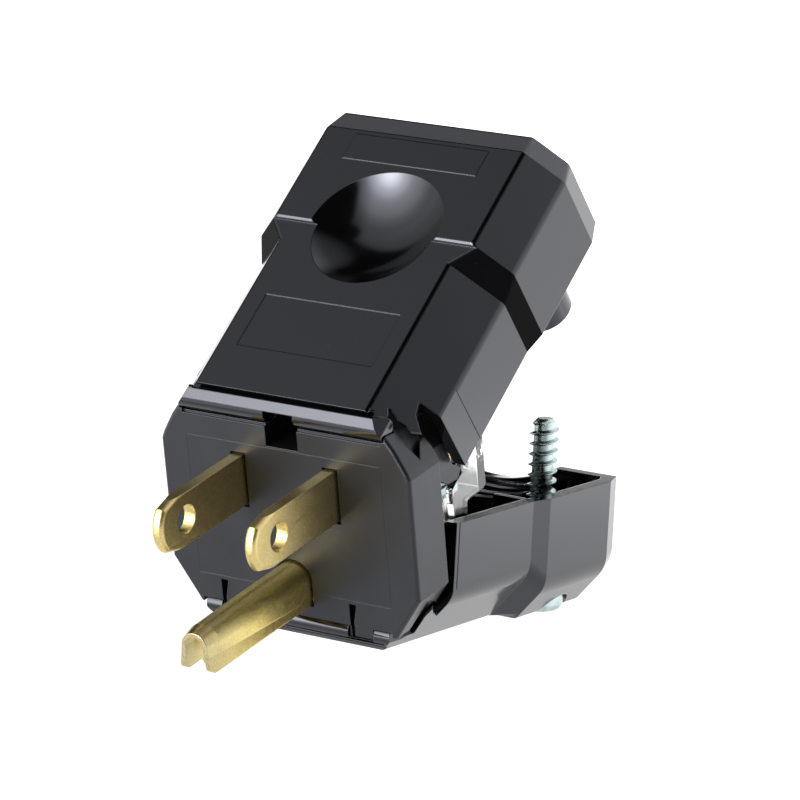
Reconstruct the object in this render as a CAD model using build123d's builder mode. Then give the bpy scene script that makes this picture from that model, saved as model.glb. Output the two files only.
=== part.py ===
"""Grounding plug with two straight blades and a folded ground pin, modelled open.

Frame (mm): origin midway between the two blades on the front face, +Z up (away
from the ground pin), +Y back into the plug, blades pointing along -Y.
The two housing halves are drawn shut and then swung open about their hinges,
which is how the plug lies at rest here.
"""
from build123d import *
from math import sin, cos, radians, sqrt
import os

os.makedirs("parts", exist_ok=True)

# ---------------------------------------------------------------- dimensions
# blades and ground pin
BLADE_X = 6.35            # half the blade spacing
BLADE_T = 1.52            # blade thickness
BLADE_W = 6.35            # blade width
BLADE_L = 17.0            # blade length in front of the face
BLADE_HOLE_D = 3.5
BLADE_HOLE_Y = -12.0
PIN_L = 20.4              # ground pin length in front of the face
PIN_R = 2.3               # half width of the folded pin
PIN_T = 0.85              # pin sheet thickness
PIN_TOP = -9.35
PIN_BOT = -14.5

# shut body
ZP = -3.85                # parting plane
GAP = 0.1                 # half of the parting gap
A1, C1, HC1, HT1 = 11.7, 17.0, 8.9, 15.0     # front section: top half width, side, chamfer foot, top
A2, C2, HC2, HT2 = 13.7, 17.7, 10.9, 15.55   # rear section
AE, CE, HCE, HTE = 13.2, 16.7, 10.5, 14.65   # rear end
Y_FRONT = 1.65            # front edge of the top face, at the hinge
Y_LIP = 0.6               # front edge of the bottom face
Y_WALL = 6.65             # front edge of the side walls
Y_S, Y_E = 23.9, 26.7     # waist
Y_B, Y_R = 41.1, 44.2     # rear bevel
WALL = 1.6
EDGE_R = 0.85             # rounding beside the top and bottom faces
EDGE_S = {1: 1.2, -1: 4.0}   # rounding from the chamfers to the side walls, upper and lower half

# hinges
HY_U, HZ_U, BARREL_U = 1.0, 9.0, 1.4       # upper axis and barrel radius
HY_L, HZ_L, BARREL_L = 1.15, -17.2, 1.38   # lower axis and barrel radius
ROD_R = 0.55
OPEN_U = 29.5             # how far the halves stand open
OPEN_L = -13.5

# face block
FACE_W = 17.2
FACE_D = 6.4
FACE_TOP = 7.32
CORE_Y = 9.0

# assembly screws
SX, SY = 11.5, 35.0
S_MINOR, S_MAJOR = 1.3, 1.8
S_TIP, S_SEAT, S_HEAD_H, S_HEAD_R = 3.8, -17.3, 2.4, 3.4
CB_TOP, CB_R = -16.9, 3.85
BOSS_U, BOSS_L, BOSS_R = -10.2, -10.6, 3.6   # ends of the screw bosses

# terminals
TX, TY = 10.4, 12.4       # terminal screw position on each side
T_R = 1.7
GTY = 13.2                # ground terminal screw position


def section(a, c, hc, ht, h0, s):
    """Half section of the shut body in X and Z, from height h0 above the parting plane."""
    z = lambda h: ZP + s * h
    return [(-c, z(h0)), (-c, z(hc)), (-a, z(ht)), (a, z(ht)), (c, z(hc)), (c, z(h0))]


def inset(a, c, hc, ht, t):
    """The same section moved in by a wall thickness."""
    dx, dh = c - a, hc - ht
    n = sqrt(dx * dx + dh * dh)
    px, ph = a + t * dh / n, ht - t * dx / n
    ci, hi = c - t, ht - t
    return px + (hi - ph) * dx / dh, ci, ph + (ci - px) * dh / dx, hi


def round_edges(sk, s):
    """Round the corners of a half section."""
    fillet([v for v in sk.vertices() if abs(v.Y - ZP) > 12.5], radius=EDGE_R)
    fillet([v for v in sk.vertices() if 2.0 < abs(v.Y - ZP) < 12.5], radius=EDGE_S[s])


def envelope(s):
    """Outer form of one half, shut."""
    am = A2 + (HT2 - HT1) * (C2 - A2) / (HT2 - HC2)
    front, waist, rear, end = (A1, C1, HC1, HT1), (am, C2, HC2, HT1), (A2, C2, HC2, HT2), (AE, CE, HCE, HTE)
    # the step at the waist has a narrow bevel along its top edge
    lip = (A2 + 0.2 * (C2 - A2) / (HT2 - HC2), C2, HC2, HT2 - 0.2)
    with BuildPart() as env:
        for pair in (((Y_FRONT if s > 0 else Y_LIP, front), (Y_S, front)), ((Y_S, front), (Y_E, waist)),
                     ((Y_E, lip), (Y_E + 0.26, rear)), ((Y_E + 0.26, rear), (Y_B, rear)), ((Y_B, rear), (Y_R, end))):
            for y, sec in pair:
                with BuildSketch(Plane.XZ.offset(-y)) as sk:
                    with BuildLine():
                        Polyline(*section(*sec, GAP, s), close=True)
                    make_face()
                    round_edges(sk, s)
            loft(ruled=True)
    return env.part


def cavity(s):
    """Hollow of one half, shut, open at the front and at the parting plane."""
    with BuildPart() as cav:
        with BuildSketch(Plane.XZ.offset(-(Y_WALL - 0.05))):
            with BuildLine():
                Polyline(*section(*inset(A1, C1, HC1, HT1, WALL), GAP - 1.0, s), close=True)
            make_face()
        extrude(amount=-(Y_S - Y_WALL + 0.05))
        am = A2 + (HT2 - HT1) * (C2 - A2) / (HT2 - HC2)
        for y, sec in ((Y_S, (A1, C1, HC1, HT1)), (Y_E, (am, C2, HC2, HT1))):
            with BuildSketch(Plane.XZ.offset(-y)):
                with BuildLine():
                    Polyline(*section(*inset(*sec, WALL), GAP - 1.0, s), close=True)
                make_face()
        loft(ruled=True)
        with BuildSketch(Plane.XZ.offset(-Y_E)):
            with BuildLine():
                Polyline(*section(*inset(A2, C2, HC2, HT1 + 0.2, WALL), GAP - 1.0, s), close=True)
            make_face()
        extrude(amount=-(Y_B - Y_E))
        for y, sec in ((Y_B, (A2, C2, HC2, HT1 + 0.2)), (Y_R - 1.7, (AE, CE + 0.3, HCE, HTE))):
            with BuildSketch(Plane.XZ.offset(-y)):
                with BuildLine():
                    Polyline(*section(*inset(*sec, WALL), GAP - 1.0, s), close=True)
                make_face()
        loft(ruled=True)
    return cav.part


# outline of each half in front of the side wall, from the hood round the finger to the wall
EDGE_UPPER = [(13.35, -2.0), (13.35, 3.72), (14.17, 3.07), (14.89, 3.14), (15.38, 2.8), (16.15, 3.53), (15.18, 4.96),
              (14.9, Y_WALL)]
EDGE_LOWER = [(12.75, -2.0), (12.75, 2.35), (13.05, 3.35), (13.17, 4.66), (14.2, 4.0), (15.25, 3.3), (16.2, 3.42),
              (15.15, 5.4), (14.8, Y_WALL)]
FINGER_T = 0.5            # finger thickness, measured along Z


def front_trim(s):
    """What is cut away in front of the side walls: all but the hood, the hinge and the two fingers."""
    z = lambda h: ZP + s * h
    zt = sorted((z(GAP - 1.0), z(HT1 - WALL)))
    with BuildPart() as trim:
        # under the hood
        with Locations((0, (Y_LIP + Y_WALL) / 2 - 0.5, sum(zt) / 2)):
            Box(60, Y_WALL - Y_LIP + 1.0, zt[1] - zt[0])
        # outside the hood, beside the fingers
        for k in (1, -1):
            with BuildSketch(Plane.XY.offset(ZP)):
                with BuildLine():
                    Polyline(*[(k * x, y) for x, y in (EDGE_UPPER if s > 0 else EDGE_LOWER)], (k * 30, Y_WALL), (k * 30, -2.0),
                             close=True)
                make_face()
            extrude(amount=s * 30)
    return trim.part


def chamfer_slab(s, d_in, d_out):
    """A slab along the front chamfer on the right, from d_out above the surface to d_in below it."""
    slope = (HT1 - HC1) / (C1 - A1)
    zz = lambda x, d: ZP + s * (HT1 - slope * (x - A1) - d)
    return [(12.6, zz(12.6, -d_out)), (17.4, zz(17.4, -d_out)), (17.4, zz(17.4, d_in)), (12.6, zz(12.6, d_in))]


def finger_skin(s):
    """The chamfer skin that reaches forward over the corner of the face block, as a thin slab."""
    with BuildPart() as skin:
        with BuildSketch(Plane.XZ.offset(-2.5)):
            with BuildLine():
                Polyline(*chamfer_slab(s, FINGER_T, 0), close=True)
            make_face()
        extrude(amount=-(Y_WALL - 2.5 + 0.3))
        with BuildSketch(Plane.XY.offset(ZP)):
            with BuildLine():
                edge = EDGE_UPPER[1:] if s > 0 else EDGE_LOWER[3:]
                Polyline((13.0, Y_WALL + 0.3), (13.0, edge[0][1]), *edge, (edge[-1][0], Y_WALL + 0.3), close=True)
            make_face()
        extrude(amount=s * 30, mode=Mode.INTERSECT)
        mirror(about=Plane.YZ)
    return skin.part


def finger_room(s):
    """Recess in the corner of the face block that takes the finger of a shut half, deeper above."""
    room = [(12.4, 3.4), (13.9, 3.0), (14.8, 2.85), (15.4, 2.45), (16.6, 3.4), (15.6, 5.1), (15.3, FACE_D + 0.1),
            (12.4, FACE_D + 0.1)] if s > 0 else \
           [(12.4, 2.6), (15.2, 2.9), (16.6, 3.1), (15.6, 5.5), (15.2, FACE_D + 0.1), (12.4, FACE_D + 0.1)]
    with BuildPart() as rm:
        with BuildSketch(Plane.XZ.offset(-2.2)):
            with BuildLine():
                Polyline(*chamfer_slab(s, 1.6 if s > 0 else FINGER_T + 0.16, 4.0), close=True)
            make_face()
        extrude(amount=-(FACE_D - 2.2 + 0.2))
        with BuildSketch(Plane.XY.offset(ZP)):
            with BuildLine():
                Polyline(*room, close=True)
            make_face()
        extrude(amount=s * 30, mode=Mode.INTERSECT)
        mirror(about=Plane.YZ)
    return rm.part


def corner_draft():
    """Wedges taken off the upper corners of the face block."""
    with BuildPart() as wedge:
        for y, d in ((0.8, -0.03), (FACE_D + 0.01, 0.5)):
            with BuildSketch(Plane.XZ.offset(-y)):
                with BuildLine():
                    Polyline(*chamfer_slab(1, d, 4.0), close=True)
                make_face()
        loft(ruled=True)
        mirror(about=Plane.YZ)
    return wedge.part


def front_limit(s, out=0.0):
    """The front section carried forward and widened a little, which bounds the ends of the hinge barrel."""
    with BuildPart() as lim:
        with BuildSketch(Plane.XZ.offset(3.0)) as sk:
            with BuildLine():
                Polyline(*section(A1 + out, C1 + out, HC1, HT1, GAP, s), close=True)
            make_face()
            round_edges(sk, s)
        extrude(amount=-8.0)
    return lim.part


# ---------------------------------------------------------------- face block
with BuildPart() as face_block:
    upper_corner = [(FACE_W, 3.5), (16.92, 4.25), (16.3, 5.35), (15.4, 6.85), (14.55, 7.95), (14.05, 8.5), (13.7, 8.5)]
    lower_corner = [(13.2, -16.75), (13.75, -16.75), (FACE_W, -11.6)]
    half = [(13.7, FACE_TOP)] + upper_corner[::-1] + lower_corner[::-1] + [(13.2, -16.2)]
    with BuildSketch(Plane.XZ):
        with BuildLine():
            Polyline(*[(-x, z) for x, z in half[::-1]], *half, close=True)
        make_face()
    extrude(amount=-FACE_D)
    # rounded front edge on the sides and chamfers
    rim = [e for e in face_block.edges().filter_by(lambda e: abs(e.center().Y) < 1e-4)
           if abs(e.center().X) > 14.1]
    fillet(rim, radius=0.5)
    # step behind the top edge, under the upper barrel
    with Locations((0, 0.3 + (FACE_D - 0.3) / 2, FACE_TOP)):
        Box(27.6, FACE_D - 0.3, 0.56)
    # narrower core that the shut halves lap over
    with BuildSketch(Plane.XZ.offset(-FACE_D)):
        with BuildLine():
            Polyline((-13.2, 3.0), (-11.0, 5.6), (11.0, 5.6), (13.2, 3.0), (13.2, -10.6), (10.6, -13.6),
                     (-10.6, -13.6), (-13.2, -10.6), close=True)
        make_face()
    extrude(amount=-(CORE_Y - FACE_D))
    # arch behind the block, inside the upper half, that closes the joint
    with BuildSketch(Plane.XZ.offset(-(FACE_D - 0.4))):
        with BuildLine():
            Polyline((14.0, 0.4), (15.05, 0.4), (15.05, 3.9), (12.9, 7.2), (-12.9, 7.2), (-15.05, 3.9), (-15.05, 0.4), (-14.0, 0.4),
                     (-14.0, 3.5), (-12.5, 6.1), (12.5, 6.1), (14.0, 3.5), close=True)
        make_face()
    extrude(amount=-(10.4 - FACE_D + 0.4))
    # its corners carried back beside the terminals
    for k in (1, -1):
        with BuildSketch(Plane.XZ.offset(-10.2)):
            with BuildLine():
                Polyline(*[(k * x, z) for x, z in ((14.0, 2.2), (15.05, 2.2), (15.05, 3.9), (12.9, 7.2), (12.35, 7.2), (12.35, 6.3),
                                                   (14.0, 3.5))], close=True)
            make_face()
        extrude(amount=-4.1)
    # its side cheeks, cut to a point at the back
    for k in (1, -1):
        with BuildSketch(Plane.YZ.offset(14.0 if k > 0 else -15.05)):
            with BuildLine():
                Polyline((FACE_D - 0.4, -0.6), (FACE_D - 0.4, 3.9), (10.4, 3.9), (11.6, 2.3), (12.3, 0.5), (14.2, -0.7),
                         (13.1, -1.75), (11.2, -1.65), (9.8, -0.75), close=True)
            make_face()
        extrude(amount=1.05)
    # room for the upper barrel
    with BuildSketch(Plane.YZ.offset(-14.1)):
        with Locations((HY_U, HZ_U)):
            Circle(BARREL_U + 0.14)
    extrude(amount=28.2, mode=Mode.SUBTRACT)
    # draft on the upper corners, falling away to the back
    add(corner_draft(), mode=Mode.SUBTRACT)
    # recesses for the fingers of the shut halves
    add(finger_room(1), mode=Mode.SUBTRACT)
    add(finger_room(-1), mode=Mode.SUBTRACT)
    # fine outline of a panel on the face
    with BuildSketch(Plane.XZ):
        with Locations((0, (4.75 - 13.0) / 2)):
            Rectangle(26.8, 17.75)
            Rectangle(26.58, 17.53, mode=Mode.SUBTRACT)
    extrude(amount=-0.015, mode=Mode.SUBTRACT)
    # slots for the blades
    with BuildSketch(Plane.XZ.offset(1)):
        with Locations((BLADE_X, 0), (-BLADE_X, 0)):
            Rectangle(BLADE_T + 0.16, BLADE_W + 0.16)
    extrude(amount=-(CORE_Y + 2), mode=Mode.SUBTRACT)
    # wider mouths of the blade slots
    with BuildSketch(Plane.XZ.offset(1)):
        with Locations((BLADE_X, 0), (-BLADE_X, 0)):
            Rectangle(BLADE_T + 0.5, BLADE_W + 0.5)
    extrude(amount=-1.7, mode=Mode.SUBTRACT)
    # U-shaped slot for the ground pin, wider at its mouth
    for gap, depth in ((0.08, CORE_Y + 2), (0.24, 1.7)):
        with BuildSketch(Plane.XZ.offset(1)):
            with BuildLine():
                r = PIN_R + gap
                zc = PIN_TOP - PIN_R
                Polyline((-r, zc), (-r, PIN_BOT - gap), (r, PIN_BOT - gap), (r, zc))
                ThreePointArc((r, zc), (0, zc + r), (-r, zc))
            make_face()
        extrude(amount=-depth, mode=Mode.SUBTRACT)
    # deep window at the top centre
    with BuildSketch(Plane.XZ.offset(1)):
        with Locations((0, (4.87 + FACE_TOP + 1) / 2)):
            Rectangle(4.4, FACE_TOP + 1 - 4.87)
    extrude(amount=-(FACE_D + 0.9), mode=Mode.SUBTRACT)
    # two upper hinge hooks: a stem rising behind the barrel and a C round the rod
    for x0 in (5.2, -8.8):
        with BuildSketch(Plane.YZ.offset(x0)):
            with BuildLine():
                Polyline((HY_U + 0.55, 6.9), (4.4, 6.9), (4.4, FACE_TOP + 0.26), (HY_U + 0.95, HZ_U - 0.1), (HY_U, HZ_U),
                         (HY_U + 0.55, HZ_U - 0.8), close=True)
            make_face()
            with Locations((HY_U, HZ_U)):
                Circle(0.98)
                Circle(ROD_R + 0.06, mode=Mode.SUBTRACT)
            with BuildLine():
                Polyline((HY_U, HZ_U), (HY_U + 2.4, HZ_U + 0.8), (HY_U + 2.0, HZ_U + 2.4), (HY_U - 2.0, HZ_U + 2.4),
                         (HY_U - 2.4, HZ_U + 0.6), close=True)
            make_face(mode=Mode.SUBTRACT)
        extrude(amount=3.6)
    # tongues over the lower hinge, with their C round the rod
    for x0 in (7.25, -10.45):
        with BuildSketch(Plane.YZ.offset(x0)):
            with BuildLine():
                Polyline((0.1, -14.5), (2.3, -14.5), (2.3, HZ_L + 0.4), (HY_L, HZ_L), (HY_L - 0.9, HZ_L - 0.5), (0.1, HZ_L),
                         close=True)
            make_face()
            with Locations((HY_L, HZ_L)):
                Circle(1.05)
                Circle(ROD_R + 0.06, mode=Mode.SUBTRACT)
            with BuildLine():
                Polyline((HY_L, HZ_L), (HY_L - 0.4, HZ_L - 2.4), (HY_L + 2.0, HZ_L - 2.0), (HY_L + 2.4, HZ_L - 0.2), close=True)
            make_face(mode=Mode.SUBTRACT)
        extrude(amount=3.2)
    # clearance of the lower barrel under the bottom edge
    for x0, x1 in ((-13.2, -10.53), (-7.17, 7.17), (10.53, 13.2)):
        with BuildSketch(Plane.YZ.offset(x0)):
            with Locations((HY_L, HZ_L)):
                Circle(BARREL_L + 0.15)
        extrude(amount=x1 - x0, mode=Mode.SUBTRACT)
    # tapering slots beside the tongues
    for x0 in (7.45, -10.45):
        with BuildSketch(Plane.XZ.offset(0.5)):
            with BuildLine():
                Polyline((x0, -13.4), (x0 + 1.0, -13.45), (x0 + 0.55, -15.6), (x0 + 0.4, -18), (x0 + 0.1, -18),
                         (x0, -15.6), close=True)
            make_face()
        extrude(amount=-2.2, mode=Mode.SUBTRACT)
face_block.part.label = "face_block"
export_step(face_block.part, "parts/face_block.step")

# ---------------------------------------------------------------- blades
def blade(k):
    """One blade with its terminal: k is +1 for the right-hand blade seen from the front."""
    with BuildPart() as b:
        with BuildSketch(Plane.YZ.offset(k * BLADE_X - BLADE_T / 2)):
            with BuildLine():
                w = BLADE_W / 2
                Polyline((-(BLADE_L - 1.05), w - 0.5), (-(BLADE_L - 2.9), w), (9.4, w), (16.0, w), (16.0, -0.8),
                         (9.4, -0.8), (9.4, -w), (-(BLADE_L - 2.9), -w), (-(BLADE_L - 1.05), -(w - 0.5)))
                ThreePointArc((-(BLADE_L - 1.05), -(w - 0.5)), (-BLADE_L, 0), (-(BLADE_L - 1.05), w - 0.5))
            make_face()
            with Locations((BLADE_HOLE_Y, 0)):
                Circle(BLADE_HOLE_D / 2, mode=Mode.SUBTRACT)
        extrude(amount=BLADE_T)
        # rounded end and eased edges
        w = BLADE_W / 2
        fillet([e for e in b.edges() if abs(abs(e.center().X - k * BLADE_X) - BLADE_T / 2) < 1e-3
                and e.center().Y < -(BLADE_L - 3.2)], radius=0.6)
        fillet([e for e in b.edges().filter_by(Axis.Y) if abs(abs(e.center().Z) - w) < 1e-3
                and e.length > 8 and e.center().Y < 2], radius=0.25)
        # terminal flange folded outward along the tail's lower edge
        with BuildSketch(Plane.XY.offset(-0.8)):
            with BuildLine():
                xi, xo = k * (BLADE_X + BLADE_T / 2 - 0.4), k * 13.3
                Polyline((xi, 9.6), (xo - k * 1.0, 9.6), (xo, 10.6), (xo, 14.8), (xo - k * 1.0, 15.8), (xi, 15.8), close=True)
            make_face()
            with Locations((k * TX, TY)):
                Circle(T_R + 0.06, mode=Mode.SUBTRACT)
        extrude(amount=BLADE_T)
        fillet(b.edges().filter_by(Axis.Y).filter_by(
            lambda e: abs(e.center().X - k * (BLADE_X + BLADE_T / 2)) < 1e-3 and abs(e.center().Z - (BLADE_T - 0.8)) < 1e-3),
            radius=0.8)
    return b.part


neutral_blade = blade(1)
neutral_blade.label = "neutral_blade"
export_step(neutral_blade, "parts/neutral_blade.step")
hot_blade = blade(-1)
hot_blade.label = "hot_blade"
export_step(hot_blade, "parts/hot_blade.step")

# ---------------------------------------------------------------- ground pin
with BuildPart() as ground_pin:
    zc = PIN_TOP - PIN_R
    # folded sheet, straight length
    with BuildSketch(Plane.XZ.offset(PIN_L - 2.0)):
        with BuildLine():
            Polyline((-PIN_R, zc), (-PIN_R, PIN_BOT), (PIN_R, PIN_BOT), (PIN_R, zc))
            ThreePointArc((PIN_R, zc), (0, zc + PIN_R), (-PIN_R, zc))
        make_face()
    extrude(amount=-(PIN_L - 2.0 + 9.7))
    # nose
    with BuildSketch(Plane.XZ.offset(PIN_L - 2.0)):
        with BuildLine():
            Polyline((-PIN_R, zc), (-PIN_R, PIN_BOT), (PIN_R, PIN_BOT), (PIN_R, zc))
            ThreePointArc((PIN_R, zc), (0, zc + PIN_R), (-PIN_R, zc))
        make_face()
    with BuildSketch(Plane.XZ.offset(PIN_L)):
        with BuildLine():
            rn = 1.75
            zn = PIN_TOP - 0.35 - rn
            Polyline((-rn, zn), (-PIN_R + 0.12, PIN_BOT), (PIN_R - 0.12, PIN_BOT), (rn, zn))
            ThreePointArc((rn, zn), (0, zn + rn), (-rn, zn))
        make_face()
    loft(ruled=True)
    # inside of the fold
    with BuildSketch(Plane.XZ.offset(PIN_L - 2.0)):
        with BuildLine():
            ri = PIN_R - PIN_T
            Polyline((-ri, zc), (-ri, PIN_BOT - 1), (ri, PIN_BOT - 1), (ri, zc))
            ThreePointArc((ri, zc), (0, zc + ri), (-ri, zc))
        make_face()
    extrude(amount=-(PIN_L - 2.0 + 9.8), mode=Mode.SUBTRACT)
    with BuildSketch(Plane.XZ.offset(PIN_L - 2.0)):
        with BuildLine():
            Polyline((-ri, zc), (-ri, PIN_BOT - 1), (ri, PIN_BOT - 1), (ri, zc))
            ThreePointArc((ri, zc), (0, zc + ri), (-ri, zc))
        make_face()
    with BuildSketch(Plane.XZ.offset(PIN_L + 0.01)):
        with BuildLine():
            rm = 1.2
            zm = zn
            Polyline((-rm, zm), (-ri, PIN_BOT - 1), (ri, PIN_BOT - 1), (rm, zm))
            ThreePointArc((rm, zm), (0, zm + rm), (-rm, zm))
        make_face()
    loft(ruled=True, mode=Mode.SUBTRACT)
    # rounded lower corners of the nose
    fillet(ground_pin.edges().filter_by(Axis.X, tolerance=8).filter_by(
        lambda e: abs(e.center().Y + PIN_L) < 0.05 and abs(e.center().Z - PIN_BOT) < 0.05), radius=0.9)
    # right-hand side pressed inward along a slanting crease, below which it flares out again to the edge
    for y, pts in ((PIN_L, ((ri + 0.1, -12.0), (ri - 0.5, -12.7), (ri + 0.1, -13.55))),
                   (-0.5, ((ri + 0.1, -13.4), (ri - 0.08, -13.9), (ri + 0.1, -14.4)))):
        with BuildSketch(Plane.XZ.offset(y)):
            with BuildLine():
                Polyline(*pts, close=True)
            make_face()
    loft(ruled=True)
    for y, pts in ((PIN_L + 0.1, ((3.0, -12.15), (1.45, -12.7), (2.28, PIN_BOT - 0.3), (3.0, PIN_BOT - 0.3))),
                   (-0.5, ((3.0, -13.5), (2.18, -13.82), (2.33, PIN_BOT - 0.3), (3.0, PIN_BOT - 0.3)))):
        with BuildSketch(Plane.XZ.offset(y)):
            with BuildLine():
                Polyline(*pts, close=True)
            make_face()
    loft(ruled=True, mode=Mode.SUBTRACT)
    # strap to the ground terminal
    with BuildSketch(Plane.XY.offset(PIN_TOP - 0.85)):
        with BuildLine():
            Polyline((-1.9, CORE_Y + 0.05), (1.9, CORE_Y + 0.05), (3.3, 10.2), (3.3, 15.4), (2.5, 16.2), (-2.5, 16.2),
                     (-3.3, 15.4), (-3.3, 10.2), close=True)
        make_face()
        with Locations((0, GTY)):
            Circle(T_R + 0.06, mode=Mode.SUBTRACT)
    extrude(amount=0.85)
ground_pin.part.label = "ground_pin"
export_step(ground_pin.part, "parts/ground_pin.step")


# ---------------------------------------------------------------- terminal screws and pressure plates
def terminal_screw(x, y, z_head, length, head_r, head_h):
    """Slotted binding-head screw standing head down at x, y."""
    with BuildPart() as t:
        with BuildSketch(Plane.XY.offset(z_head)):
            with Locations((x, y)):
                Circle(T_R)
        extrude(amount=length)
        chamfer(t.faces().sort_by(Axis.Z)[-1].edges(), length=0.4)
        with BuildSketch(Plane.XY.offset(z_head)):
            with Locations((x, y)):
                Circle(head_r)
        extrude(amount=-head_h)
        fillet(t.faces().sort_by(Axis.Z)[0].edges(), radius=0.7)
        with BuildSketch(Plane.XY.offset(z_head - head_h)):
            with Locations(Location((x, y, 0), 25)):
                Rectangle(8, 0.9)
        extrude(amount=1.2, mode=Mode.SUBTRACT)
    return t.part


def pressure_plate(x, y, z_low, k):
    """Wire clamp plate with a turned-up side, bored for the screw."""
    with BuildPart() as p:
        with BuildSketch(Plane.XY.offset(z_low)):
            with Locations((x, y)):
                RectangleRounded(6.0, 6.0, 0.8)
                Circle(T_R + 0.15, mode=Mode.SUBTRACT)
        extrude(amount=1.0)
        # wire grooves
        with BuildSketch(Plane.XZ.offset(-(y - 4))):
            with Locations((x - 2.35, z_low + 1.15), (x + 2.35, z_low + 1.15)):
                Circle(0.55)
        extrude(amount=-8, mode=Mode.SUBTRACT)
    return p.part


neutral_terminal_screw = terminal_screw(TX, TY, -4.0, 8.4, 3.35, 3.6)
neutral_terminal_screw.label = "neutral_terminal_screw"
export_step(neutral_terminal_screw, "parts/neutral_terminal_screw.step")
hot_terminal_screw = terminal_screw(-TX, TY, -4.0, 8.4, 3.35, 3.6)
hot_terminal_screw.label = "hot_terminal_screw"
export_step(hot_terminal_screw, "parts/hot_terminal_screw.step")
ground_terminal_screw = terminal_screw(0, GTY, -13.7, 7.2, 3.0, 2.5)
ground_terminal_screw.label = "ground_terminal_screw"
export_step(ground_terminal_screw, "parts/ground_terminal_screw.step")
neutral_pressure_plate = pressure_plate(TX, TY, -4.0, 1)
neutral_pressure_plate.label = "neutral_pressure_plate"
export_step(neutral_pressure_plate, "parts/neutral_pressure_plate.step")
hot_pressure_plate = pressure_plate(-TX, TY, -4.0, -1)
hot_pressure_plate.label = "hot_pressure_plate"
export_step(hot_pressure_plate, "parts/hot_pressure_plate.step")
ground_pressure_plate = pressure_plate(0, GTY, -13.7, 1)
ground_pressure_plate.label = "ground_pressure_plate"
export_step(ground_pressure_plate, "parts/ground_pressure_plate.step")

# ---------------------------------------------------------------- clear wire retainer
with BuildPart() as terminal_retainer:
    # thin partition behind the terminals
    with BuildSketch(Plane.XZ.offset(-18.3)):
        with BuildLine():
            Polyline((-14.9, 3.2), (14.9, 3.2), (14.9, -4.9), (14.4, -5.2), (5.4, -5.2), (5.4, -14.6), (-5.4, -14.6),
                     (-5.4, -5.2), (-14.4, -5.2), (-14.9, -4.9), close=True)
        make_face()
    extrude(amount=-1.1)
    # thin cheeks along the sides, reaching forward past the terminals
    for k in (1, -1):
        with BuildSketch(Plane.YZ.offset(14.0 if k > 0 else -14.9)):
            with BuildLine():
                Polyline((19.4, 3.2), (19.4, -4.9), (18.8, -5.2), (15.2, -5.3), (15.0, -7.4), (12.4, -7.4), (12.1, -4.0),
                         (12.1, -2.8), (13.3, -2.05), (14.6, -1.5), (14.7, -0.5), (14.7, 3.2), close=True)
            make_face()
        extrude(amount=0.9)
    # wire holes, opened out at the back
    for x, z in ((TX, -1.9), (-TX, -1.9), (0, -11.5)):
        with BuildSketch(Plane.XZ.offset(-18)):
            with Locations((x, z)):
                Circle(1.5)
        extrude(amount=-2, mode=Mode.SUBTRACT)
        with BuildSketch(Plane.XZ.offset(-18.7)):
            with Locations((x, z)):
                Circle(1.5)
        with BuildSketch(Plane.XZ.offset(-19.41)):
            with Locations((x, z)):
                Circle(2.2)
        loft(mode=Mode.SUBTRACT)
    # arms forward to the face block
    for x in (3.0, -3.0):
        with BuildSketch(Plane.XY.offset(2.0)):
            with Locations((x, (CORE_Y + 18.6) / 2)):
                Rectangle(3.0, 18.6 - CORE_Y)
        extrude(amount=1.2)
terminal_retainer.part.label = "terminal_retainer"
export_step(terminal_retainer.part, "parts/terminal_retainer.step")

# ---------------------------------------------------------------- upper housing, drawn shut
DISH_Y, DISH_R, DISH_D = 26.95, 8.3, 2.77
DISH_RAD = (DISH_R ** 2 + DISH_D ** 2) / (2 * DISH_D)
DISH_Z = ZP + (HT1 + HT2) / 2 - DISH_D + DISH_RAD

env_u = envelope(1)
cav_u = cavity(1)
trim_u = front_trim(1)
skin_u = finger_skin(1)

with BuildPart() as dish_bulge:
    with Locations((0, DISH_Y, DISH_Z)):
        Sphere(DISH_RAD + 1.5, rotation=(90, 0, 0))
    with Locations((0, DISH_Y, ZP + HT1 - 4.0)):
        Box(26, 26, 7.0, mode=Mode.INTERSECT)
    add(env_u, mode=Mode.INTERSECT)

with BuildPart() as bosses_u:
    with BuildSketch(Plane.XY.offset(ZP + GAP)):
        with Locations((SX, SY), (-SX, SY)):
            Circle(BOSS_R)
    extrude(amount=HT1 - 0.8)
    # webs that tie each boss to the side wall
    with BuildSketch(Plane.XY.offset(ZP + 0.6)):
        with Locations((SX + 3.8, SY - 2.0), (-SX - 3.8, SY - 2.0)):
            Rectangle(4.4, 1.1)
    extrude(amount=HT1 - 1.4)
    add(env_u, mode=Mode.INTERSECT)

with BuildPart() as barrel_u:
    # round below, with a flat that rises to just short of the lip
    with BuildSketch(Plane.YZ.offset(-13.95)):
        with Locations((HY_U, HZ_U)):
            Circle(BARREL_U)
        with BuildLine():
            Polyline((HY_U, HZ_U), (HY_U - 1.008, HZ_U + 1.019), (HY_U + 0.062, HZ_U + 1.699), (HY_U + 0.45, HZ_U + 1.32),
                     (HY_U + 1.0, HZ_U + 0.9), close=True)
        make_face()
    extrude(amount=27.9)
    add(front_limit(1, 0.6), mode=Mode.INTERSECT)

with BuildPart() as barrel_root:
    # ties the barrel to the hood
    with BuildSketch(Plane.YZ.offset(-13.35)):
        with BuildLine():
            Polyline((HY_U, HZ_U), (HY_U + BARREL_U, HZ_U), (3.6, ZP + HT1 - WALL), (3.6, ZP + HT1 - 0.25),
                     (Y_FRONT + 0.05, ZP + HT1 - 0.25), (HY_U, HZ_U + BARREL_U), close=True)
        make_face()
    extrude(amount=26.7)
    add(front_limit(1), mode=Mode.INTERSECT)

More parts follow.
